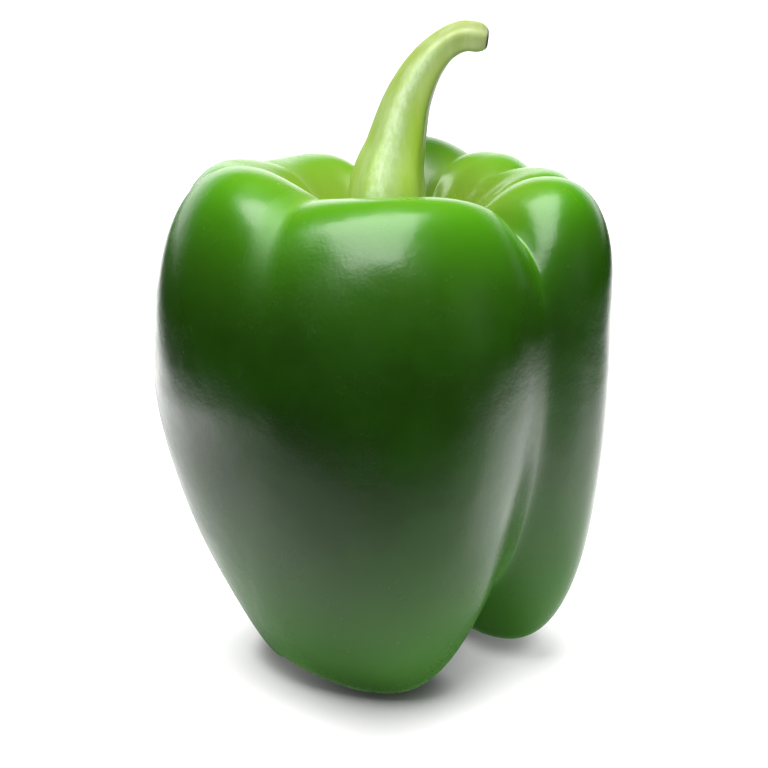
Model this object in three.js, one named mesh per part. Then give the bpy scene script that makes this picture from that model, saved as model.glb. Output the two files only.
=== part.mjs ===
// A large blocky green bell pepper with its stem, in millimetres, +Z up.
// It stands upright on its feet: the lowest point is z = 0, and the origin is under its middle.
import * as THREE from "three";

// Driving dimensions, measured from the axis of the fruit before it is centred
const CROWN_FLOOR = 82; // height of the floor of the hollow round the stem
const BLOSSOM_END = 13; // height of the tip underneath, up between the feet
const STEM_GAP = 0.5; // clearance between the calyx and the skin under it

// The lobes in order round the fruit, anticlockwise from above. The first one faces -Y.
// A meridian of the skin climbs from the crown floor over the crest, swells to the belly and
// narrows to the foot that the fruit stands on, or nearly stands on. A fullness is how far the
// skin holds its width or height before it turns, as a share of the way to the next dimension.
const LOBES = {
  //             front  right  right  rear   rear   rear   left   left
  //                           rear   right         left   rear
  crestRadius: [ 29,    32.5,  32,    29,    28,    29,    32,    30],
  crestHeight: [ 99.3,  98.7,  97,    98,    99.7,  97,    98.5,  101.6],
  bellyRadius: [ 44,    44.8,  42.6,  42,    42,    43,    45,    47],
  bellyHeight: [ 62,    78,    76,    72,    70,    70,    65,    60],
  footRadius:  [ 23,    25,    24.5,  23,    25,    23.5,  22,    21.5],
  footHeight:  [ -0.6,  3.2,   -1.1,  0,     -0.6,  0.2,   0.8,   -0.6],
  crestFullness:[ 0.5,  0.66,  0.66,  0.66,  0.66,  0.66,  0.66,  0.62],
  sideFullness:[ 0.5,   0.6,   0.6,   0.5,   0.5,   0.5,   0.42,  0.33],
  footFullness:[ 0.35,  0.7,   0.5,   0.5,   0.5,   0.5,   0.12,  0.13],
};

// Groove i is the one before lobe i, so groove 0 is between the last lobe and the first.
// Its azimuth in degrees, from -Y towards +X, wanders on the way down. The depths are how far
// the skin falls in at the groove, and the drops how far it falls short of the lobes' height.
// The ease is 0 where the groove crosses the crest as a tight crease that runs on down the side,
// and 1 where it is a soft valley that fades just below the crest.
const GROOVES = {
  crestAzimuth:[ -37,   60,    94,    116,   142,   187,   236,   271],
  bellyAzimuth:[ -32,   51,    98,    120,   150,   195,   232,   266],
  footAzimuth: [ -61,   61,    106,   148,   176,   203,   226,   250],
  crestDepth:  [ 4,     5,     2.5,   2.5,   3,     6,     2,     2.5],
  crestDrop:   [ 3.5,   9,     2,     1.5,   2,     6,     0.8,   2],
  crestEase:   [ 0.8,   0,     0,     0,     0,     0,     0,     0.2],
  bellyDepth:  [ 0.6,   6,     0.8,   3.5,   0.8,   2.5,   2.5,   0.8],
  footDepth:   [ 0.5,   11,    0,     8,     0,     0,     6,     0],
  footDrop:    [ 2.2,   10,    0,     5.5,   0,     0,     5,     0],
};
const LOBE_COUNT = LOBES.crestRadius.length;

// Along a meridian, s runs from 0 at the crown's centre to 1 at the blossom end
const CREST_AT = 0.24;
const BELLY_AT = 0.45;
const FOOT_AT = 0.82;
const WANDER_FROM = 0.1; // where the grooves begin to leave their azimuth at the crest

// How sharply the skin turns in at a groove: a low power makes full lobes and a tight crease,
// and the softness rounds the bottom of the crease
const CREST_CREASE = { power: 0.5, softness: 0.06 };
const CREST_VALLEY = { power: 0.8, softness: 0.1 };
const BELLY_CREASE = { power: 1.2, softness: 0.3 };
const FOOT_CREASE = { power: 1.15, softness: 0.25 };

// How far round the meridian bends at each turn, as a share of the way to the next one
const ROUNDNESS = { crown: 0.55, crest: 0.5, shoulder: 0.62, sole: 0.6, blossomEnd: 0.5 };

// The stem: a ridged stalk that bends over to the right, flaring into a toothed calyx
const STALK_LINE = [
  [0.2, 0, 80], [0.5, 0.2, 96.6], [1.9, 0.6, 103], [4.2, 1, 112],
  [7.5, 1.4, 118.6], [11, 1.8, 122.4], [14.8, 2, 124.2], [19.5, 2, 123.6],
];
const STALK_RADIUS = [8.4, 7, 5.7, 4.5, 3.6, 3.05, 3, 2.8]; // at those points
const RIDGE = { count: 5, height: 0.07, azimuth: -28 }; // height is a share of the radius
const FLARE_FROM = 0.1; // how far along the stalk the flare of the calyx ends
const ROUNDED_FROM = 0.93; // where the stalk's end begins to round off
const ROUNDED_END = [[1, 0.45], [0.985, 0.74], [0.965, 0.9]]; // [place along it, share of its radius]
const CALYX = { radius: 12.5, tooth: 1.6, thickness: 1.3, dish: 0.5 };

// Fineness of the facets
const COLUMN_ANGLE = 8; // degrees between columns of the fruit, about
const MERIDIAN_ROWS = { crown: 8, shoulder: 8, side: 12, underside: 8 };
const FOOT_CROWDING = 1.7; // above 1, rows come closer together towards the feet
const STALK_COLUMNS = 30;
const STALK_ROWS = 15;
const FLARE_ROWS = 6;
const UNDERSIDE_ROWS = [1, 0.7, 0.35]; // shares of the calyx's radius

const smooth = (t) => t * t * (3 - 2 * t);
const mix = (a, b, t) => a + (b - a) * t;
const radians = THREE.MathUtils.degToRad;
const clamp01 = (t) => THREE.MathUtils.clamp(t, 0, 1);

function bezier(a, b, c, d, t) {
  const u = 1 - t;
  return u * u * u * a + 3 * u * u * t * b + 3 * u * t * t * c + t * t * t * d;
}

// The value at x of a smooth closed curve that passes values[i] at x = i
function roundTheFruit(values, x) {
  const i = Math.floor(x);
  const at = (k) => values[((k % LOBE_COUNT) + LOBE_COUNT) % LOBE_COUNT];
  return mix(at(i), at(i + 1), smooth(x - i));
}

// 0 in the groove, 1 on the lobe's middle, with f from 0 to 1 across the lobe
function swell(f, { power, softness }) {
  const wave = Math.sin(Math.PI * f) ** 2;
  const low = softness ** power;
  const high = (1 + softness ** 2) ** (power / 2);
  return ((wave + softness ** 2) ** (power / 2) - low) / (high - low);
}

// Azimuth in radians at w, which counts grooves round the fruit, and s down the meridian
function azimuthAt(w, s) {
  const i = Math.floor(w);
  const between = (angles) => {
    const next = i + 1 < LOBE_COUNT ? angles[i + 1] : angles[0] + 360;
    return mix(angles[i], next, w - i);
  };
  const toBelly = smooth(clamp01((s - WANDER_FROM) / (BELLY_AT - WANDER_FROM)));
  const toFoot = smooth(clamp01((s - BELLY_AT) / (FOOT_AT - BELLY_AT)));
  const upper = mix(between(GROOVES.crestAzimuth), between(GROOVES.bellyAzimuth), toBelly);
  return radians(mix(upper, between(GROOVES.footAzimuth), toFoot));
}

// A point of the skin. The feet are cut level with the surface they stand on.
function skinPoint(w, s) {
  const lobe = (values) => roundTheFruit(values, w - 0.5);
  const groove = (values) => roundTheFruit(values, w);
  const f = w - Math.floor(w);
  const ease = groove(GROOVES.crestEase);
  const crestIn = 1 - mix(swell(f, CREST_CREASE), swell(f, CREST_VALLEY), ease);
  const bellyIn = 1 - swell(f, BELLY_CREASE);
  const footIn = 1 - swell(f, FOOT_CREASE);
  const crestAt = (inward) => ({
    r: lobe(LOBES.crestRadius) - groove(GROOVES.crestDepth) * inward,
    z: lobe(LOBES.crestHeight) - groove(GROOVES.crestDrop) * inward,
  });
  const crest = crestAt(crestIn);
  const shoulder = crestAt(crestIn * (1 - ease));
  const belly = {
    r: lobe(LOBES.bellyRadius) - groove(GROOVES.bellyDepth) * bellyIn,
    z: lobe(LOBES.bellyHeight),
  };
  const foot = {
    r: lobe(LOBES.footRadius) - groove(GROOVES.footDepth) * footIn,
    z: lobe(LOBES.footHeight) + groove(GROOVES.footDrop) * footIn,
  };

  let r, z;
  if (s < CREST_AT) {
    const t = s / CREST_AT;
    const bend = ROUNDNESS.crown * crest.r;
    r = bezier(0, bend, bend, crest.r, t);
    z = bezier(CROWN_FLOOR, CROWN_FLOOR, crest.z, crest.z, t);
  } else if (s < BELLY_AT) {
    const t = (s - CREST_AT) / (BELLY_AT - CREST_AT);
    r = bezier(crest.r, mix(shoulder.r, belly.r, lobe(LOBES.crestFullness)), belly.r, belly.r, t);
    const over = mix(crest.z, shoulder.z, ROUNDNESS.crest);
    const down = mix(belly.z, shoulder.z, ROUNDNESS.shoulder);
    z = bezier(crest.z, over, down, belly.z, t);
  } else if (s < FOOT_AT) {
    const t = (s - BELLY_AT) / (FOOT_AT - BELLY_AT);
    r = bezier(belly.r, belly.r, mix(foot.r, belly.r, lobe(LOBES.footFullness)), foot.r, t);
    z = bezier(belly.z, mix(belly.z, foot.z, lobe(LOBES.sideFullness)), foot.z, foot.z, t);
  } else {
    const t = (s - FOOT_AT) / (1 - FOOT_AT);
    r = bezier(foot.r, ROUNDNESS.sole * foot.r, ROUNDNESS.blossomEnd * foot.r, 0, t);
    z = bezier(foot.z, foot.z, BLOSSOM_END, BLOSSOM_END, t);
  }
  const azimuth = azimuthAt(w, s);
  return new THREE.Vector3(r * Math.sin(azimuth), -r * Math.cos(azimuth), Math.max(z, 0));
}

// A closed body from rings of points, top ring first, each ring anticlockwise from above
function closedBody(top, rings, bottom) {
  const columns = rings[0].length;
  const points = [top, ...rings.flat(), bottom];
  const last = points.length - 1;
  const at = (ring, column) => 1 + ring * columns + (column % columns);
  const faces = [];
  for (let j = 0; j < columns; j++) {
    faces.push(0, at(0, j), at(0, j + 1));
    for (let i = 0; i + 1 < rings.length; i++) {
      faces.push(at(i, j), at(i + 1, j), at(i + 1, j + 1));
      faces.push(at(i, j), at(i + 1, j + 1), at(i, j + 1));
    }
    faces.push(at(rings.length - 1, j), last, at(rings.length - 1, j + 1));
  }
  const geometry = new THREE.BufferGeometry().setFromPoints(points);
  geometry.setIndex(faces);
  geometry.computeVertexNormals();
  return geometry;
}

// The rings' places down a meridian, from the crown's centre to the blossom end
function meridianSteps() {
  const { crown, shoulder, side, underside } = MERIDIAN_ROWS;
  const stretch = (from, to, rows, ease) =>
    Array.from({ length: rows }, (_, i) => mix(from, to, ease((i + 1) / rows)));
  const even = (t) => t;
  const lateCrowd = (t) => 1 - (1 - t) ** FOOT_CROWDING;
  const earlyCrowd = (t) => t ** FOOT_CROWDING;
  return [
    ...stretch(0, CREST_AT, crown, even),
    ...stretch(CREST_AT, BELLY_AT, shoulder, even),
    ...stretch(BELLY_AT, FOOT_AT, side, lateCrowd),
    ...stretch(FOOT_AT, 1, underside, earlyCrowd),
  ].slice(0, -1);
}

// Columns crowd together at the grooves, where the skin turns sharply
function fruitGeometry() {
  const columns = [];
  for (let lobe = 0; lobe < LOBE_COUNT; lobe++) {
    const nearly = lobe + 1 - 1e-6;
    const spans = [0, BELLY_AT, 1].map((s) => azimuthAt(nearly, s) - azimuthAt(lobe, s));
    const count = Math.ceil(Math.max(...spans) / radians(COLUMN_ANGLE));
    for (let k = 0; k < count; k++) {
      columns.push(lobe + 0.5 - 0.5 * Math.cos((Math.PI * k) / count));
    }
  }
  const rings = meridianSteps().map((s) => columns.map((w) => skinPoint(w, s)));
  return closedBody(skinPoint(0, 0), rings, skinPoint(0, 1));
}

// The skin's height in the crown at this azimuth in degrees and distance from the axis
function crownHeight(azimuth, radius) {
  const angles = [...GROOVES.crestAzimuth, GROOVES.crestAzimuth[0] + 360];
  const turned = azimuth < angles[0] ? azimuth + 360 : azimuth;
  const i = angles.findIndex((angle, k) => turned < angles[k + 1]);
  const w = i + (turned - angles[i]) / (angles[i + 1] - angles[i]);
  let near = 0;
  let far = CREST_AT;
  for (let step = 0; step < 30; step++) {
    const s = (near + far) / 2;
    const p = skinPoint(w, s);
    if (Math.hypot(p.x, p.y) < radius) near = s;
    else far = s;
  }
  return skinPoint(w, near).z;
}

// From the cut end, down the stalk, out over the calyx and back in underneath it
function stemGeometry() {
  const line = new THREE.CatmullRomCurve3(STALK_LINE.map((p) => new THREE.Vector3(...p)));
  const azimuths = Array.from(
    { length: STALK_COLUMNS },
    (_, j) => -180 + (360 * (j + 0.5)) / STALK_COLUMNS,
  );
  const ridge = (azimuth) => Math.cos(radians(RIDGE.count * (azimuth - RIDGE.azimuth)));
  const ring = (at) => azimuths.map(at);

  // A point of the stalk, at this share of its length, of its radius and this azimuth
  const stalkPoint = (along, azimuth, share = 1) => {
    const place = along * (STALK_RADIUS.length - 1);
    const i = Math.min(Math.floor(place), STALK_RADIUS.length - 2);
    const radius = mix(STALK_RADIUS[i], STALK_RADIUS[i + 1], place - i);
    const tangent = line.getTangent(along);
    const front = new THREE.Vector3(0, -1, 0).projectOnPlane(tangent).normalize();
    const side = new THREE.Vector3().crossVectors(tangent, front);
    const out = share * radius * (1 + RIDGE.height * ridge(azimuth));
    return line
      .getPoint(along)
      .addScaledVector(side, out * Math.sin(radians(azimuth)))
      .addScaledVector(front, out * Math.cos(radians(azimuth)));
  };
  const calyxPoint = (azimuth, share, lift) => {
    const radius = share * (CALYX.radius + CALYX.tooth * ridge(azimuth));
    return new THREE.Vector3(
      radius * Math.sin(radians(azimuth)),
      -radius * Math.cos(radians(azimuth)),
      crownHeight(azimuth, radius) + lift,
    );
  };

  const rings = ROUNDED_END.map(([along, share]) => ring((a) => stalkPoint(along, a, share)));
  for (let i = 0; i <= STALK_ROWS; i++) {
    const along = mix(ROUNDED_FROM, FLARE_FROM, i / STALK_ROWS);
    rings.push(ring((a) => stalkPoint(along, a)));
  }
  for (let i = 1; i <= FLARE_ROWS; i++) {
    const t = i / FLARE_ROWS;
    rings.push(
      ring((a) => {
        const top = stalkPoint(FLARE_FROM, a);
        const edge = calyxPoint(a, 1, STEM_GAP + CALYX.thickness);
        const knee = new THREE.Vector3(top.x, top.y, edge.z + CALYX.dish);
        return new THREE.QuadraticBezierCurve3(top, knee, edge).getPoint(t);
      }),
    );
  }
  for (const share of UNDERSIDE_ROWS) {
    rings.push(ring((a) => calyxPoint(a, share, STEM_GAP)));
  }
  return closedBody(line.getPoint(1), rings, new THREE.Vector3(0, 0, CROWN_FLOOR + STEM_GAP));
}

const fruit = new THREE.Mesh(
  fruitGeometry(),
  new THREE.MeshStandardMaterial({ color: 0x2f7d18, roughness: 0.25, metalness: 0 }),
);
fruit.name = "fruit";

const stem = new THREE.Mesh(
  stemGeometry(),
  new THREE.MeshStandardMaterial({ color: 0x9cbb45, roughness: 0.55, metalness: 0 }),
);
stem.name = "stem";

const pepper = new THREE.Group();
pepper.name = "bell_pepper";
pepper.add(fruit, stem);

// Centred over the origin by its outline seen from above
const middle = new THREE.Box3().setFromObject(pepper).getCenter(new THREE.Vector3());
pepper.position.set(-middle.x, -middle.y, 0);

export default pepper;
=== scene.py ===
"""A green bell pepper with its stem on a white table under a soft box.

Everything is in metres in the model's own frame. The fruit and the stem are rebuilt here finely
from the same dimensions as the solid model, given in millimetres, and then finished.
"""

import math

import bpy
import numpy as np
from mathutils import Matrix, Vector, noise


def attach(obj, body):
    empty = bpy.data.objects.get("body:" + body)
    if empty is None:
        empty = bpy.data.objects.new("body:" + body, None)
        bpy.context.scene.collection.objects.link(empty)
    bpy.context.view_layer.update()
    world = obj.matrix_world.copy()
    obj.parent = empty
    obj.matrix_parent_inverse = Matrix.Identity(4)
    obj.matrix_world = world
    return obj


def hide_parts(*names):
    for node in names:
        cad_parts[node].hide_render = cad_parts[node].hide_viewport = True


MM = 0.001
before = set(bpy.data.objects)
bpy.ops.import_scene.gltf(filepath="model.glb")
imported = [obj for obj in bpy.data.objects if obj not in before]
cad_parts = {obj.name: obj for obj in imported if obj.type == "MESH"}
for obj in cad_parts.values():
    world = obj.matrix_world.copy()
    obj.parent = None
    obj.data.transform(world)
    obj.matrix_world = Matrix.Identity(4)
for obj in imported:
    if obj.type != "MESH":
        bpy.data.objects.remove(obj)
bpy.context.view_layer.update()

# Dimensions of the fruit, in millimetres from its axis

CROWN_FLOOR = 82.0
BLOSSOM_END = 13.0
STEM_GAP = 0.5

# The lobes in order round the fruit, anticlockwise from above. The first one faces -Y.
# A fullness is how far the skin holds its width or height before it turns.
LOBES = dict(
    #              front  right  right  rear   rear   rear   left   left
    #                            rear   right         left   rear
    crest_radius=[29, 32.5, 32, 29, 28, 29, 32, 30],
    crest_height=[99.3, 98.7, 97, 98, 99.7, 97, 98.5, 101.6],
    belly_radius=[44, 44.8, 42.6, 42, 42, 43, 45, 47],
    belly_height=[62, 78, 76, 72, 70, 70, 65, 60],
    foot_radius=[23, 25, 24.5, 23, 25, 23.5, 22, 21.5],
    foot_height=[-0.6, 3.2, -1.1, 0, -0.6, 0.2, 0.8, -0.6],
    crest_fullness=[0.5, 0.66, 0.66, 0.66, 0.66, 0.66, 0.66, 0.62],
    side_fullness=[0.5, 0.6, 0.6, 0.5, 0.5, 0.5, 0.42, 0.33],
    foot_fullness=[0.35, 0.7, 0.5, 0.5, 0.5, 0.5, 0.12, 0.13],
)
# Groove i is the one before lobe i. Its azimuth is in degrees from -Y towards +X. Its ease is 0
# where it crosses the crest as a tight crease, and 1 where it is a soft valley that fades below.
GROOVES = dict(
    crest_azimuth=[-37, 60, 94, 116, 142, 187, 236, 271],
    belly_azimuth=[-32, 51, 98, 120, 150, 195, 232, 266],
    foot_azimuth=[-61, 61, 106, 148, 176, 203, 226, 250],
    crest_depth=[4, 5, 2.5, 2.5, 3, 6, 2, 2.5],
    crest_drop=[3.5, 9, 2, 1.5, 2, 6, 0.8, 2],
    crest_ease=[0.8, 0, 0, 0, 0, 0, 0, 0.2],
    belly_depth=[0.6, 6, 0.8, 3.5, 0.8, 2.5, 2.5, 0.8],
    foot_depth=[0.5, 11, 0, 8, 0, 0, 6, 0],
    foot_drop=[2.2, 10, 0, 5.5, 0, 0, 5, 0],
)
LOBE_COUNT = len(LOBES["crest_radius"])

# Along a meridian, s runs from 0 at the crown's centre to 1 at the blossom end
CREST_AT = 0.24
BELLY_AT = 0.45
FOOT_AT = 0.82
WANDER_FROM = 0.1

# How sharply the skin turns in at a groove: a low power makes full lobes and a tight crease,
# and the softness rounds the bottom of the crease
CREST_CREASE = dict(power=0.5, softness=0.06)
CREST_VALLEY = dict(power=0.8, softness=0.1)
BELLY_CREASE = dict(power=1.2, softness=0.3)
FOOT_CREASE = dict(power=1.15, softness=0.25)

# How far round the meridian bends at each turn, as a share of the way to the next one
ROUNDNESS = dict(crown=0.55, crest=0.5, shoulder=0.62, sole=0.6, blossom_end=0.5)

# The slight unevenness of the skin, which the solid model leaves out
UNEVENNESS = dict(height=0.5, size=26, seed=3.1)

# Dimensions of the stem, in millimetres

STALK_LINE = np.array([
    [0.2, 0, 80], [0.5, 0.2, 96.6], [1.9, 0.6, 103], [4.2, 1, 112],
    [7.5, 1.4, 118.6], [11, 1.8, 122.4], [14.8, 2, 124.2], [19.5, 2, 123.6],
])
STALK_RADIUS = [8.4, 7, 5.7, 4.5, 3.6, 3.05, 3, 2.8]
RIDGE = dict(count=5, height=0.07, azimuth=-28)
CALYX = dict(radius=12.5, tooth=1.6, thickness=1.3, dish=0.5)

# Places along the stalk from 0 at its foot to 1 at its cut end: where the flare of the calyx
# ends, and where the end begins to round off down to the flat cut's share of the radius
FLARE_FROM = 0.1
ROUNDED_FROM = 0.93
CUT_SHARE = 0.42

# Where masks on the skin change: where that begins along the meridian, and over what length

CROWN_FADE = (0.12, 0.2)
# The shoulder mask lays a lighter green, partly the shoulders' own paler tone and partly painted
# light on the top
SHOULDER_FADE = (0.24, 0.19)
LOW_SIDE_RISE = (0.5, 0.22)
CREASE_FADE = (0.2, 0.15)

# How narrow the pale line in a crease is, which is partly paler skin and partly a painted highlight
CREASE_LINE = dict(power=0.5, softness=0.02)
CREASE_SHARPNESS = 3

# The duller skin beside the valley in front: from and to in grooves round the fruit, and then
# where it ends down the meridian
VALLEY_FLANK = dict(begins=7.85, begins_over=0.1, beyond=0.04, ends=0.42, ends_over=0.1)

# Painted shade, darker skin behind the stem in the crown: its place and width in grooves round the
# fruit, and then where it begins and ends down the meridian
REAR_PAINTED_SHADE = dict(at=4.35, width=0.45, begins=0.06, begins_over=0.08, ends=0.4, ends_over=0.1)

# A painted highlight, a pale stripe down the stalk: degrees round it, and its end as a share of all
# the stem's rings, counted from under the calyx. The brown rings are the first ones, at the cut
# end.
PAINTED_HIGHLIGHT = dict(azimuth=-17, width=21, ends=0.85, ends_over=0.3)
BROWN_RINGS = 5

# Fineness. The crowding is 0 for columns evenly spaced and 1 for columns drawn to the grooves.

FRUIT_COLUMNS = 340
FRUIT_ROWS = 240
GROOVE_CROWDING = 0.6
STEM_COLUMNS = 180
CUT_RING_SHARES = (0.2, 0.4)
ROUNDED_TURNS = range(10, 90, 10)
STALK_ROWS = 90
FLARE_ROWS = 30
UNDERSIDE_SHARES = (1, 0.9, 0.7, 0.4)
HALVINGS = 30

# The stretch of the meridian in which the outline seen from above is looked for, and how finely
OUTLINE_BAND = (0.3, 0.7)
OUTLINE_ROWS = 81
OUTLINE_COLUMNS = 720


def smooth(t):
    t = np.clip(t, 0, 1)
    return t * t * (3 - 2 * t)


def rise(value, start, length):
    """0 up to start and 1 from length past it."""
    return smooth((value - start) / length)


def fall(value, end, length):
    """1 until length before the end and 0 from the end on."""
    return smooth((end - value) / length)


def mix(a, b, t):
    return a + (b - a) * t


def bezier(a, b, c, d, t):
    u = 1 - t
    return u * u * u * a + 3 * u * u * t * b + 3 * u * t * t * c + t * t * t * d


def round_the_fruit(values, x):
    """The value at x of a smooth closed curve that passes values[i] at x = i."""
    values = np.asarray(values, float)
    i = np.floor(x).astype(int)
    return mix(values[i % LOBE_COUNT], values[(i + 1) % LOBE_COUNT], smooth(x - i))


def swell(f, power, softness):
    """0 in a groove and 1 on the middle of a lobe, with f from 0 to 1 across the lobe."""
    wave = np.sin(np.pi * f) ** 2
    low = softness ** power
    high = (1 + softness ** 2) ** (power / 2)
    return ((wave + softness ** 2) ** (power / 2) - low) / (high - low)


def between_grooves(angles, w):
    """The azimuth in degrees at w, which counts grooves round the fruit."""
    angles = np.asarray(angles, float)
    i = np.floor(w).astype(int) % LOBE_COUNT
    after = np.append(angles[1:], angles[0] + 360)
    return mix(angles[i], after[i], w - np.floor(w))


def azimuth_at(w, s):
    """Azimuth in radians at w, which counts grooves round the fruit, and s down the meridian."""
    upper = mix(
        between_grooves(GROOVES["crest_azimuth"], w),
        between_grooves(GROOVES["belly_azimuth"], w),
        rise(s, WANDER_FROM, BELLY_AT - WANDER_FROM),
    )
    lower = between_grooves(GROOVES["foot_azimuth"], w)
    return np.radians(mix(upper, lower, rise(s, BELLY_AT, FOOT_AT - BELLY_AT)))


def skin_point(w, s):
    """Points of the skin in millimetres, for arrays w and s of one shape."""
    w, s = np.broadcast_arrays(np.asarray(w, float), np.asarray(s, float))

    def lobe(name):
        return round_the_fruit(LOBES[name], w - 0.5)

    def groove(name):
        return round_the_fruit(GROOVES[name], w)

    f = w - np.floor(w)
    ease = groove("crest_ease")
    crest_in = 1 - mix(swell(f, **CREST_CREASE), swell(f, **CREST_VALLEY), ease)
    shoulder_in = crest_in * (1 - ease)
    belly_in = 1 - swell(f, **BELLY_CREASE)
    foot_in = 1 - swell(f, **FOOT_CREASE)
    crest_r = lobe("crest_radius") - groove("crest_depth") * crest_in
    crest_z = lobe("crest_height") - groove("crest_drop") * crest_in
    shoulder_r = lobe("crest_radius") - groove("crest_depth") * shoulder_in
    shoulder_z = lobe("crest_height") - groove("crest_drop") * shoulder_in
    belly_r = lobe("belly_radius") - groove("belly_depth") * belly_in
    belly_z = lobe("belly_height")
    foot_r = lobe("foot_radius") - groove("foot_depth") * foot_in
    foot_z = lobe("foot_height") + groove("foot_drop") * foot_in
    floor = np.full_like(s, CROWN_FLOOR)
    tip = np.full_like(s, BLOSSOM_END)

    bend = ROUNDNESS["crown"] * crest_r
    over = mix(crest_z, shoulder_z, ROUNDNESS["crest"])
    down = mix(belly_z, shoulder_z, ROUNDNESS["shoulder"])
    sole = ROUNDNESS["sole"] * foot_r
    inward = ROUNDNESS["blossom_end"] * foot_r
    stretches = [
        (0, CREST_AT, (0, bend, bend, crest_r), (floor, floor, crest_z, crest_z)),
        (CREST_AT, BELLY_AT,
         (crest_r, mix(shoulder_r, belly_r, lobe("crest_fullness")), belly_r, belly_r),
         (crest_z, over, down, belly_z)),
        (BELLY_AT, FOOT_AT,
         (belly_r, belly_r, mix(foot_r, belly_r, lobe("foot_fullness")), foot_r),
         (belly_z, mix(belly_z, foot_z, lobe("side_fullness")), foot_z, foot_z)),
        (FOOT_AT, 1, (foot_r, sole, inward, 0), (foot_z, foot_z, tip, tip)),
    ]
    r = np.zeros_like(s)
    z = np.zeros_like(s)
    for start, end, radii, heights in stretches:
        here = (s >= start) & (s <= end)
        t = np.clip((s - start) / (end - start), 0, 1)
        r = np.where(here, bezier(*radii, t), r)
        z = np.where(here, bezier(*heights, t), z)
    azimuth = azimuth_at(w, s)
    return np.stack([r * np.sin(azimuth), -r * np.cos(azimuth), z], -1)


def centre_of_outline():
    """The middle of the fruit's outline seen from above, which is over the model's origin."""
    w = np.linspace(0, LOBE_COUNT, OUTLINE_COLUMNS + 1)[None, :-1]
    s = np.linspace(*OUTLINE_BAND, OUTLINE_ROWS)[:, None]
    points = skin_point(w, s).reshape(-1, 3)
    return (points.min(0)[:2] + points.max(0)[:2]) / 2


CENTRE = centre_of_outline()


def stalk_centre(along):
    """Points and unit tangents of the stalk's centre line, a centripetal Catmull-Rom curve."""
    points = np.vstack([
        2 * STALK_LINE[0] - STALK_LINE[1], STALK_LINE, 2 * STALK_LINE[-1] - STALK_LINE[-2],
    ])
    last = len(STALK_LINE) - 1
    place = np.clip(np.atleast_1d(along) * last, 0, last)
    i = np.minimum(place.astype(int), last - 1)
    t = (place - i)[:, None]
    p0, p1, p2, p3 = (points[i + k] for k in range(4))
    d0, d1, d2 = (np.sqrt(np.linalg.norm(b - a, axis=1))[:, None]
                  for a, b in ((p0, p1), (p1, p2), (p2, p3)))
    m1 = ((p1 - p0) / d0 - (p2 - p0) / (d0 + d1) + (p2 - p1) / d1) * d1
    m2 = ((p2 - p1) / d1 - (p3 - p1) / (d1 + d2) + (p3 - p2) / d2) * d1
    cubic = 2 * p1 - 2 * p2 + m1 + m2
    square = -3 * p1 + 3 * p2 - 2 * m1 - m2
    centre = ((cubic * t + square) * t + m1) * t + p1
    tangent = (3 * cubic * t + 2 * square) * t + m1
    return centre, tangent / np.linalg.norm(tangent, axis=1, keepdims=True)


def ridge_wave(azimuth):
    return np.cos(np.radians(RIDGE["count"] * (azimuth - RIDGE["azimuth"])))


def stalk_ring(along, azimuths, share=1.0):
    """One ring of the stalk at this place along it, at this share of its radius."""
    (centre,), (tangent,) = stalk_centre(along)
    front = np.array([0, -1.0, 0])
    front = front - (front @ tangent) * tangent
    front /= np.linalg.norm(front)
    side = np.cross(tangent, front)
    places = np.linspace(0, 1, len(STALK_RADIUS))
    radius = share * np.interp(along, places, STALK_RADIUS)
    out = radius * (1 + RIDGE["height"] * ridge_wave(azimuths))
    a = np.radians(azimuths)
    return centre + (out * np.sin(a))[:, None] * side + (out * np.cos(a))[:, None] * front


def crown_height(azimuths, radii):
    """The skin's height in the crown at these azimuths in degrees and distances from the axis."""
    angles = np.append(GROOVES["crest_azimuth"], GROOVES["crest_azimuth"][0] + 360)
    turned = np.where(azimuths < angles[0], azimuths + 360, azimuths)
    w = np.interp(turned, angles, np.arange(LOBE_COUNT + 1))
    near, far = np.zeros_like(w), np.full_like(w, CREST_AT)
    for _ in range(HALVINGS):
        s = (near + far) / 2
        point = skin_point(w, s)
        inside = np.hypot(point[:, 0], point[:, 1]) < radii
        near, far = np.where(inside, s, near), np.where(inside, far, s)
    return skin_point(w, near)[:, 2]


def calyx_ring(azimuths, share, lift):
    """A ring at this share of the toothed calyx, lifted above the skin of the crown."""
    radii = share * (CALYX["radius"] + CALYX["tooth"] * ridge_wave(azimuths))
    a = np.radians(azimuths)
    height = crown_height(azimuths, radii) + lift
    return np.stack([radii * np.sin(a), -radii * np.cos(a), height], 1)


def stem_rings(azimuths):
    """Rings from the cut end, down the stalk, over the calyx and back in underneath."""
    rings = [stalk_ring(1.0, azimuths, share) for share in CUT_RING_SHARES]
    for turn in np.radians(ROUNDED_TURNS):
        along = ROUNDED_FROM + (1 - ROUNDED_FROM) * math.cos(turn)
        rings.append(stalk_ring(along, azimuths, mix(CUT_SHARE, 1, math.sin(turn))))
    for along in np.linspace(ROUNDED_FROM, FLARE_FROM, STALK_ROWS):
        rings.append(stalk_ring(along, azimuths))
    top = stalk_ring(FLARE_FROM, azimuths)
    edge = calyx_ring(azimuths, 1, STEM_GAP + CALYX["thickness"])
    knee = np.column_stack([top[:, :2], edge[:, 2] + CALYX["dish"]])
    for t in np.linspace(0, 1, FLARE_ROWS + 1)[1:]:
        rings.append((1 - t) ** 2 * top + 2 * t * (1 - t) * knee + t * t * edge)
    rings += [calyx_ring(azimuths, share, STEM_GAP) for share in UNDERSIDE_SHARES]
    return np.array(rings)


def add_object(name, data):
    made = bpy.data.objects.new(name, data)
    bpy.context.scene.collection.objects.link(made)
    return made


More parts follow.
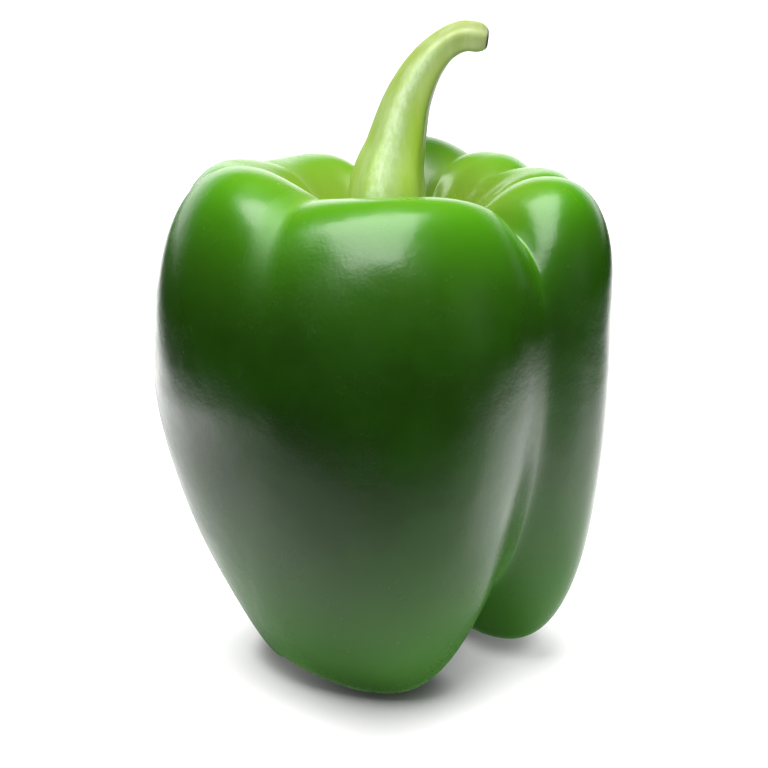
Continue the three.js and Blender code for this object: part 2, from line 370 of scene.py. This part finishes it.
def closed_body(name, top, rings, bottom):
    """A smooth closed mesh from a top point, rings of points and a bottom point, in millimetres."""
    count, columns = rings.shape[:2]
    points = np.vstack([top[None], rings.reshape(-1, 3), bottom[None]])
    points[:, :2] -= CENTRE
    j = np.arange(columns)
    after = (j + 1) % columns
    faces = [(0, 1 + a, 1 + b) for a, b in zip(j, after)]
    for i in range(count - 1):
        here, below = 1 + i * columns, 1 + (i + 1) * columns
        faces += [(here + a, below + a, below + b, here + b) for a, b in zip(j, after)]
    last = len(points) - 1
    here = 1 + (count - 1) * columns
    faces += [(here + a, last, here + b) for a, b in zip(j, after)]
    mesh = bpy.data.meshes.new(name)
    mesh.from_pydata((points * MM).tolist(), [], faces)
    mesh.polygons.foreach_set("use_smooth", [True] * len(mesh.polygons))
    mesh.update()
    return add_object(name, mesh)


def ring_attribute(piece, name, top, grid, bottom):
    """Stores one number for each vertex, in the same order as closed_body() makes them."""
    values = np.concatenate([[top], np.asarray(grid, float).ravel(), [bottom]])
    attribute = piece.data.attributes.new(name, "FLOAT", "POINT")
    attribute.data.foreach_set("value", values.astype(np.float32))


def grid_normals(rings):
    around = np.roll(rings, -1, 1) - np.roll(rings, 1, 1)
    down = np.gradient(rings, axis=0)
    normals = np.cross(down, around)
    return normals / np.maximum(np.linalg.norm(normals, axis=2, keepdims=True), 1e-9)


def noise_field(points, size, seed):
    """Smooth noise about zero, with features of this size in millimetres."""
    flat = points.reshape(-1, 3) / size + seed
    return np.array([noise.noise(Vector(p)) for p in flat]).reshape(points.shape[:-1])


def skin_masks(w, s):
    """Each mask on the skin: its value at the crown's centre, over the rows, and at the tip."""
    crease = (1 - swell(w - np.floor(w), **CREASE_LINE)) ** CREASE_SHARPNESS
    valley = VALLEY_FLANK
    flank = rise(w, valley["begins"], valley["begins_over"]) + 1 - smooth(w / valley["beyond"])
    rear_shade = REAR_PAINTED_SHADE
    behind = np.exp(-((w - rear_shade["at"]) / rear_shade["width"]) ** 2)
    behind = behind * rise(s, rear_shade["begins"], rear_shade["begins_over"])
    return {
        # The crease line is partly paler skin and partly a painted highlight
        "crease": (0, crease * (1 - rise(s, *CREASE_FADE)), 0),
        "crown": (1, 1 - rise(s, *CROWN_FADE), 0),
        # The shoulder mask is partly painted light, a brighter top
        "shoulder": (1, 1 - rise(s, *SHOULDER_FADE), 0),
        "low_side": (0, rise(s, *LOW_SIDE_RISE), 1),
        "flank": (0, flank * fall(s, valley["ends"], valley["ends_over"]), 0),
        # The behind mask is painted shade on the rear crest, beyond the stem
        "behind": (0, behind * fall(s, rear_shade["ends"], rear_shade["ends_over"]), 0),
    }


def make_fruit():
    """The fruit, with columns closer together at the grooves and level feet."""
    even = np.arange(FRUIT_COLUMNS) / FRUIT_COLUMNS * LOBE_COUNT
    f = even - np.floor(even)
    columns = np.floor(even) + mix(f, 0.5 - 0.5 * np.cos(np.pi * f), GROOVE_CROWDING)
    steps = np.linspace(0, 1, FRUIT_ROWS + 1)[1:-1]
    w, s = np.broadcast_arrays(columns[None, :], steps[:, None])
    rings = skin_point(w, s)
    bumps = UNEVENNESS["height"] * noise_field(rings, UNEVENNESS["size"], UNEVENNESS["seed"])
    rings += grid_normals(rings) * bumps[..., None]
    rings[..., 2] = np.maximum(rings[..., 2], 0)
    fruit = closed_body("fruit_skin", skin_point(0, 0.0), rings, skin_point(0, 1.0))
    for name, (top, grid, bottom) in skin_masks(w, s).items():
        ring_attribute(fruit, name, top, grid, bottom)
    return fruit


def make_stem():
    """The stalk and the calyx in one piece, with masks for its cut end and a painted highlight."""
    azimuths = -180 + 360 * (np.arange(STEM_COLUMNS) + 0.5) / STEM_COLUMNS
    rings = stem_rings(azimuths)
    tip = stalk_centre(1.0)[0][0]
    foot = np.array([0, 0, CROWN_FLOOR + STEM_GAP])
    stem = closed_body("stem_with_calyx", tip, rings, foot)
    count, columns = rings.shape[:2]
    cut = np.zeros((count, columns))
    cut[:BROWN_RINGS] = 1
    ring_attribute(stem, "cut", 1, cut, 0)
    up = np.broadcast_to(np.linspace(1, 0, count)[:, None], (count, columns))
    # The painted highlight: a pale stripe of sheen down the stalk, a little left of its front
    turn = (azimuths - PAINTED_HIGHLIGHT["azimuth"]) / PAINTED_HIGHLIGHT["width"]
    painted_highlight = np.exp(-turn ** 2) * fall(up, PAINTED_HIGHLIGHT["ends"], PAINTED_HIGHLIGHT["ends_over"])
    ring_attribute(stem, "painted_highlight", 0, painted_highlight, 0)
    ring_attribute(stem, "up", 1, up, 0)
    return stem


# Material helpers

def new_material(name, values):
    """A material with one Principled shader, and these values set on the shader's own inputs."""
    material = bpy.data.materials.new(name)
    material.use_nodes = True
    nodes = material.node_tree.nodes
    nodes.clear()
    output = nodes.new("ShaderNodeOutputMaterial")
    shader = nodes.new("ShaderNodeBsdfPrincipled")
    material.node_tree.links.new(shader.outputs[0], output.inputs["Surface"])
    for key, value in values.items():
        shader.inputs[key].default_value = value
    return material, shader


class Graph:
    """Short calls for building a material's nodes."""

    def __init__(self, material):
        self.tree = material.node_tree

    def node(self, kind, inputs=None, **settings):
        node = self.tree.nodes.new(kind)
        for key, value in settings.items():
            setattr(node, key, value)
        for key, value in (inputs or {}).items():
            self.put(node.inputs[key], value)
        return node

    def put(self, socket, value):
        if isinstance(value, bpy.types.NodeSocket):
            self.tree.links.new(value, socket)
        else:
            socket.default_value = value

    def attribute(self, name):
        return self.node("ShaderNodeAttribute", attribute_name=name).outputs["Fac"]

    def place(self, scale=(1, 1, 1)):
        coordinates = self.node("ShaderNodeTexCoord").outputs["Object"]
        return self.node("ShaderNodeMapping", {"Vector": coordinates, "Scale": scale}).outputs[0]

    def noise(self, scale, detail, roughness, stretch=(1, 1, 1)):
        made = self.node("ShaderNodeTexNoise", {
            "Vector": self.place(stretch), "Scale": scale, "Detail": detail, "Roughness": roughness,
        })
        return made.outputs["Fac"]

    def ramp(self, value, low, high, to_low=0.0, to_high=1.0):
        made = self.node("ShaderNodeMapRange", {
            "Value": value, "From Min": low, "From Max": high,
            "To Min": to_low, "To Max": to_high,
        }, interpolation_type="SMOOTHSTEP")
        return made.outputs["Result"]

    def math(self, operation, a, b=0.0):
        return self.node("ShaderNodeMath", {0: a, 1: b}, operation=operation).outputs[0]

    def blend(self, factor, a, b):
        return self.node("ShaderNodeMix", {0: factor, 6: a, 7: b}, data_type="RGBA").outputs[2]

    def bump(self, height, strength, distance, normal=None):
        inputs = {"Height": height, "Strength": strength, "Distance": distance}
        if normal is not None:
            inputs["Normal"] = normal
        return self.node("ShaderNodeBump", inputs).outputs[0]

    def glow(self, strength):
        inputs = {"Color": (1, 1, 1, 1), "Strength": strength}
        return self.node("ShaderNodeEmission", inputs).outputs[0]

    def sky(self, strength):
        inputs = {"Color": (1, 1, 1, 1), "Strength": strength}
        return self.node("ShaderNodeBackground", inputs).outputs[0]

    def either(self, choice, no, yes):
        return self.node("ShaderNodeMixShader", {0: choice, 1: no, 2: yes}).outputs[0]

    def openness(self, reach):
        """1 in the open, and less where something within this reach closes the place in."""
        return self.node("ShaderNodeAmbientOcclusion", {"Distance": reach}).outputs["AO"]


# The skin. A noise is its scale, detail and roughness. A ramp is where it begins and ends, and
# its values there, which are 0 and 1 if not given; the wax's is one. A bump is its strength and
# its height in metres.

SKIN_COLOURS = dict(
    deep=(0.011, 0.044, 0.002, 1),
    mid=(0.014, 0.060, 0.003, 1),
    lower=(0.032, 0.125, 0.009, 1),
    pale=(0.110, 0.168, 0.017, 1),
    # For the shoulders: a paler green, partly their own tone and partly painted light on the top
    lit_pale_green=(0.038, 0.165, 0.002, 1),
)
# Each mask in turn, the colour that it lays on, and how much of what is under it that covers
SKIN_LAYERS = [
    ("low_side", "lower", 0.8),
    # Partly painted light: the shoulders lighter, as if lit from above
    ("shoulder", "lit_pale_green", 0.8),
    ("crown", "pale", 0.75),
    # Partly paler skin and partly a painted highlight along the creases
    ("crease", "pale", 0.35),
    # Painted shade behind the stem
    ("behind", "deep", 0.8),
]
SKIN_VALUES = {
    "IOR": 1.47,
    "Subsurface Weight": 0.06,
    "Subsurface Radius": (0.0012, 0.003, 0.0005),
    "Subsurface Scale": 1.0,
}
MOTTLE_NOISE = (55, 4, 0.55)
MOTTLE_RAMP = (0.35, 0.68)
WAX_NOISE = (140, 3, 0.6)
WAX_ROUGHNESS = (0.3, 0.7, 0.2, 0.28)
FLANK_ROUGHNESS = 0.25
PORE_NOISE = (1400, 2, 0.5)
PORE_BUMP = (0.12, 0.0002)
WAVE_NOISE = (120, 2, 0.5)
WAVE_BUMP = (0.25, 0.0006)


def skin_material():
    """Waxy deep green skin: paler in the crown and the grooves, faintly mottled and pored. The
    shoulders and the pale crease lines are partly painted light, and the shade behind the stem is
    painted.
    """
    material, shader = new_material("fruit_skin", SKIN_VALUES)
    g = Graph(material)
    mottle = g.ramp(g.noise(*MOTTLE_NOISE), *MOTTLE_RAMP)
    colour = g.blend(mottle, SKIN_COLOURS["deep"], SKIN_COLOURS["mid"])
    for mask, laid_on, cover in SKIN_LAYERS:
        factor = g.math("MULTIPLY", g.attribute(mask), cover)
        colour = g.blend(factor, colour, SKIN_COLOURS[laid_on])
    g.put(shader.inputs["Base Color"], colour)
    wax = g.ramp(g.noise(*WAX_NOISE), *WAX_ROUGHNESS)
    duller = g.math("MULTIPLY", g.attribute("flank"), FLANK_ROUGHNESS)
    g.put(shader.inputs["Roughness"], g.math("ADD", wax, duller))
    fine = g.bump(g.noise(*PORE_NOISE), *PORE_BUMP)
    g.put(shader.inputs["Normal"], g.bump(g.noise(*WAVE_NOISE), *WAVE_BUMP, fine))
    return material


# The stem. The last number of a stretch makes the marks longer up the stalk.

STEM_COLOURS = dict(
    low=(0.280, 0.430, 0.034, 1),
    high=(0.330, 0.385, 0.140, 1),
    # The pale tone of the fibres, and the colour of the painted highlight down the stalk
    sheen=(0.560, 0.670, 0.430, 1),
    brown=(0.050, 0.035, 0.012, 1),
)
STEM_VALUES = {
    "Roughness": 0.42,
    "IOR": 1.45,
    "Subsurface Weight": 0.7,
    "Subsurface Radius": (0.005, 0.006, 0.003),
    "Subsurface Scale": 1.0,
}
HIGH_RAMP = (0.35, 1)
FIBRE_NOISE = (260, 3, 0.6)
FIBRE_STRETCH = (1, 1, 0.12)
FIBRE_RAMP = (0.35, 0.7, 0, 0.3)
FIBRE_BUMP = (0.35, 0.0005)
FLECK_NOISE = (1100, 3, 0.7)
FLECK_STRETCH = (1, 1, 0.45)
FLECK_RAMP = (0.35, 0.65, 0.5, 1)


def stem_material():
    """Pale yellow-green stalk with fine lengthwise fibres and a painted highlight down it, olive
    towards a dry brown cut end.
    """
    material, shader = new_material("stem_skin", STEM_VALUES)
    g = Graph(material)
    paint = STEM_COLOURS
    colour = g.blend(g.ramp(g.attribute("up"), *HIGH_RAMP), paint["low"], paint["high"])
    fibre = g.noise(*FIBRE_NOISE, FIBRE_STRETCH)
    colour = g.blend(g.ramp(fibre, *FIBRE_RAMP), colour, paint["sheen"])
    flecks = g.ramp(g.noise(*FLECK_NOISE, FLECK_STRETCH), *FLECK_RAMP)
    # Painted highlight down the stalk, broken up by flecks
    colour = g.blend(g.math("MULTIPLY", g.attribute("painted_highlight"), flecks), colour, paint["sheen"])
    colour = g.blend(g.attribute("cut"), colour, paint["brown"])
    g.put(shader.inputs["Base Color"], colour)
    g.put(shader.inputs["Normal"], g.bump(fibre, *FIBRE_BUMP))
    return material


# Camera, at the photograph's viewing angle

CAMERA_DISTANCE = 560.0
CAMERA_ELEVATION = 16.0
CAMERA_AIM = (-0.5, 0.0, 55.5)
CAMERA_NEAR = 0.01
CAMERA_FAR = 20
IMAGE_SIDE = 768
FOCAL_PIXELS = 2830.0
SENSOR = 36.0


def make_camera():
    data = bpy.data.cameras.new("camera")
    data.sensor_width = SENSOR
    data.lens = FOCAL_PIXELS * SENSOR / IMAGE_SIDE
    data.clip_start = CAMERA_NEAR
    data.clip_end = CAMERA_FAR
    camera = add_object("camera", data)
    e = math.radians(CAMERA_ELEVATION)
    back = Vector((0, -math.cos(e), math.sin(e)))
    aim = Vector((CAMERA_AIM[0] - CENTRE[0], CAMERA_AIM[1] - CENTRE[1], CAMERA_AIM[2]))
    camera.location = (aim + back * CAMERA_DISTANCE) * MM
    camera.rotation_mode = "QUATERNION"
    camera.rotation_quaternion = (-back).to_track_quat("-Z", "Y")
    bpy.context.scene.camera = camera


# White table. Its ramps are over places in metres from the origin, or, for the shade and the
# contact, over how open the place is.

TABLE_REACH = 6.0
TABLE_VALUES = {
    "Base Color": (0.34, 0.34, 0.34, 1),
    "Roughness": 0.9,
    "Specular IOR Level": 0.1,
}
GLOSS_FRONT = (-0.15, -0.06, 0.02, 1.1)
GLOSS_FRONT_NEAR = (-0.07, -0.035, 0, 0.6)
GLOSS_RIGHT = (0.05, 0.08, 0, 0.45)
GLOSS_RIGHT_FROM = (-0.07, -0.035)
GLOSS_LEFT = (-0.09, -0.15, 1, 1.8)
GLOSS_SIDES = (0.27, 0.17)
BOUNCE = (0.11, 0.05, 0.05, 3.2)
SHADE_REACH = 0.08
SHADE = (0.35, 0.95, 0.05, 1)
LIFT = (0, 0.03, 0.08, 0.6)
CONTACT_REACH = 0.006
CONTACT = (0.2, 0.8, 0.3, 1)


def table_bounce(g, position, place):
    """What the table gives the fruit: a glow in its gloss, and light from close round its feet."""
    away = g.math("ABSOLUTE", place.outputs["X"])
    front = g.math("ADD", g.ramp(place.outputs["Y"], *GLOSS_FRONT),
                   g.ramp(place.outputs["Y"], *GLOSS_FRONT_NEAR))
    right = g.math("MULTIPLY", g.ramp(place.outputs["X"], *GLOSS_RIGHT),
                   g.ramp(place.outputs["Y"], *GLOSS_RIGHT_FROM))
    left = g.ramp(place.outputs["X"], *GLOSS_LEFT)
    sides = g.math("MULTIPLY", g.math("ADD", right, left), g.ramp(away, *GLOSS_SIDES))
    distance = g.node("ShaderNodeVectorMath", {0: position}, operation="LENGTH").outputs["Value"]
    strength = g.node("ShaderNodeMix", {
        0: g.node("ShaderNodeLightPath").outputs["Is Glossy Ray"],
        2: g.ramp(distance, *BOUNCE),
        3: g.math("MULTIPLY", front, sides),
    }, data_type="FLOAT").outputs[0]
    return g.glow(g.math("MULTIPLY", strength, g.ramp(g.openness(SHADE_REACH), *SHADE)))


def table_seen(g, shader, place):
    """What the camera sees: the lit table, brightened less in the middle and at the feet."""
    lift = g.ramp(g.math("ABSOLUTE", place.outputs["X"]), *LIFT)
    lift = g.math("MULTIPLY", lift, g.ramp(g.openness(CONTACT_REACH), *CONTACT))
    return g.node("ShaderNodeAddShader", {0: shader.outputs[0], 1: g.glow(lift)}).outputs[0]


def make_table():
    side = TABLE_REACH
    mesh = bpy.data.meshes.new("table")
    corners = [(-side, -side, 0), (side, -side, 0), (side, side, 0), (-side, side, 0)]
    mesh.from_pydata(corners, [], [(0, 1, 2, 3)])
    table = add_object("table", mesh)
    material, shader = new_material("table", TABLE_VALUES)
    g = Graph(material)
    position = g.node("ShaderNodeNewGeometry").outputs["Position"]
    place = g.node("ShaderNodeSeparateXYZ", {0: position})
    to_camera = g.node("ShaderNodeLightPath").outputs["Is Camera Ray"]
    surface = g.either(to_camera, table_bounce(g, position, place), table_seen(g, shader, place))
    output = next(n for n in material.node_tree.nodes if n.type == "OUTPUT_MATERIAL")
    g.put(output.inputs["Surface"], surface)
    table.data.materials.append(material)
    return table


# Soft studio light. Angles are in degrees, places and sizes in metres, and powers in watts.

OVERHEAD = dict(strength=13, angle=46)
OVER_STEM = dict(strength=4.6, angle=90)
OVERHEAD_TILT = (1, -3, 0)
SOFTBOX = dict(place=(-0.12, -0.51, 0.7), aim=(-0.12, -0.5099, 0), size=(0.58, 1.02), power=15.5)
STEM_FILL = dict(place=(-0.1, -0.6, 0.3), aim=(0, 0, 0.11), size=(0.4, 0.4), power=3.8)
RIGHT_FILL = dict(place=(0.5, -0.3, 0.12), aim=(0.02, 0, 0.05), size=(0.3, 0.3), power=2.2)
WALL_BEHIND = (0.3, 0.95)
WALL_LOW = (0.75, 0.2)
WALL_STRENGTH = (0, 1, 0.03, 1.8)
AMBIENT_STRENGTH = 0.015
BACKDROP_STRENGTH = 1.2


def light_only(light, pieces):
    lit = bpy.data.collections.new(light.name + "_receivers")
    for piece in pieces:
        lit.objects.link(piece)
    light.light_linking.receiver_collection = lit


def area_light(name, place, aim, size, power):
    data = bpy.data.lights.new(name, "AREA")
    data.shape = "RECTANGLE"
    data.size, data.size_y = size
    data.energy = power
    light = add_object(name, data)
    light.location = place
    light.rotation_mode = "QUATERNION"
    light.rotation_quaternion = (Vector(aim) - Vector(place)).to_track_quat("-Z", "Y")
    return light


def fill_light(name, pieces, settings):
    """An area light on these pieces only, without a reflection of its own."""
    light = area_light(name, **settings)
    light.visible_glossy = False
    light_only(light, pieces)


def overhead_light(name, pieces, strength, angle):
    """Light from nearly straight above on these pieces only, without a reflection of its own."""
    data = bpy.data.lights.new(name, "SUN")
    data.energy = strength
    data.angle = math.radians(angle)
    light = add_object(name, data)
    light.rotation_euler = [math.radians(a) for a in OVERHEAD_TILT]
    light.visible_glossy = False
    light_only(light, pieces)


def make_lights(fruit, stem, table):
    overhead_light("overhead", [fruit, table], **OVERHEAD)
    overhead_light("over_stem", [stem], **OVER_STEM)
    softbox = area_light("softbox", **SOFTBOX)
    softbox.visible_diffuse = False
    fill_light("stem_fill", [stem], STEM_FILL)
    fill_light("right_fill", [fruit], RIGHT_FILL)


def make_world():
    """White for the camera. In gloss it is white low down behind the fruit and dark in front."""
    world = bpy.data.worlds.new("studio")
    world.use_nodes = True
    bpy.context.scene.world = world
    world.node_tree.nodes.clear()
    g = Graph(world)
    output = g.node("ShaderNodeOutputWorld")
    path = g.node("ShaderNodeLightPath")
    way = g.node("ShaderNodeSeparateXYZ", {0: g.node("ShaderNodeTexCoord").outputs["Generated"]})
    behind = g.ramp(way.outputs["Y"], *WALL_BEHIND)
    low = g.ramp(way.outputs["Z"], *WALL_LOW)
    wall = g.sky(g.ramp(g.math("MULTIPLY", behind, low), *WALL_STRENGTH))
    lit = g.either(path.outputs["Is Glossy Ray"], g.sky(AMBIENT_STRENGTH), wall)
    seen = g.either(path.outputs["Is Camera Ray"], lit, g.sky(BACKDROP_STRENGTH))
    g.put(output.inputs["Surface"], seen)
    bpy.context.scene.view_settings.view_transform = "Standard"
    bpy.context.scene.view_settings.look = "None"


fruit = make_fruit()
fruit.data.materials.append(skin_material())
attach(fruit, "root")
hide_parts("fruit")

stem = make_stem()
stem.data.materials.append(stem_material())
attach(stem, "root")
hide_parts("stem")

make_camera()
make_lights(fruit, stem, make_table())
make_world()
